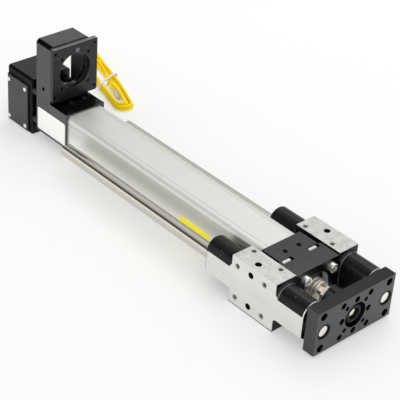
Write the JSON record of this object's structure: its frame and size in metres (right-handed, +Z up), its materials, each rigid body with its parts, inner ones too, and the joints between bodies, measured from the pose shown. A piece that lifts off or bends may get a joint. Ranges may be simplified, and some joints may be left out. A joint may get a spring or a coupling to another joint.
{
  "type": "electric cylinder",
  "caption": "Screw-driven electric cylinder with a square body, twin guide rods, a drilled tool plate, a belt housing with a motor flange for a parallel motor, and a tied cable.",
  "frame": {"origin": "middle of the base, on the surface that the part stands on", "axes": "+X along the rod towards the tool plate, +Z up"},
  "size_m": [0.776, 0.2672, 0.163],
  "materials": {
    "satin_anodised": "satin clear anodised extrusion",
    "black_anodised": "matt black anodised",
    "guide_block_finish": "black anodised with bare milled mounting faces",
    "polished_steel": "ground and polished",
    "zinc_steel": "bright zinc",
    "black_steel": "black oxide",
    "nickel_steel": "warm nickel plate",
    "bearing_steel": "ground",
    "bronze": "plain bearing bronze",
    "seal_rubber": "matt",
    "pulley_aluminium": "clear anodised",
    "grey_plastic": "moulded",
    "pale_plastic": "moulded",
    "black_plastic": "moulded",
    "yellow_jacket": "smooth cable jacket",
    "clear_nylon": "clear"
  },
  "bodies": {
    "cylinder_body": {"profile_tube": "satin_anodised", "front_head": "black_anodised", "rod_bushing": "bronze", "rod_wiper": "seal_rubber", "head_screws": "zinc_steel", "clamp_screws": "zinc_steel", "head_set_screws": "black_steel", "guide_block_left": "guide_block_finish", "guide_block_right": "guide_block_finish", "linear_bearings_left": "bearing_steel", "linear_bearings_right": "bearing_steel", "guide_wipers_left": "seal_rubber", "guide_wipers_right": "seal_rubber", "thread_inserts": "zinc_steel", "rear_cap": "black_anodised", "cap_bolts": "zinc_steel", "cap_screws": "black_steel", "screw_bearings": "bearing_steel", "bearing_retainer": "black_steel", "belt_housing": "black_anodised", "housing_screws": "black_steel", "motor_flange": "black_anodised", "flange_screws": "black_steel", "flange_dowel": "bearing_steel", "rear_box": "black_anodised", "rear_box_cover": "black_anodised", "cover_screws": "zinc_steel", "box_pillars": "black_steel", "feedback_module": "grey_plastic", "cable_gland": "black_plastic", "sensor_cable": "yellow_jacket", "cable_hank": "yellow_jacket", "cable_tie": "clear_nylon", "cable_end": "yellow_jacket", "cable_connector": "pale_plastic"},
    "rod_carriage": {"front_plate": "black_anodised", "guide_rod_left": "polished_steel", "guide_rod_right": "polished_steel", "piston_rod": "polished_steel", "rod_stud": "nickel_steel", "jam_nut": "zinc_steel", "coupling_nut": "black_steel", "ball_nut": "bearing_steel", "nut_guide_ring": "bronze"},
    "drive_screw": {"ball_screw": "bearing_steel", "screw_locknut": "black_steel", "driven_pulley": "pulley_aluminium", "feedback_rotor": "pulley_aluminium"}
  },
  "joints": [
    {"name": "rod_slide", "type": "slide", "parent": "cylinder_body", "child": "rod_carriage", "axis": [1, 0, 0], "range_m": [0, 0.3]},
    {"name": "screw_spin", "type": "hinge", "parent": "cylinder_body", "child": "drive_screw", "pos_m": [0, 0, 0.036], "axis": [1, 0, 0], "range_deg": [-10810, 10]}
  ],
  "couplings": [
    {"joint": "screw_spin", "follows": "rod_slide", "rad_per_m": -628.32}
  ]
}
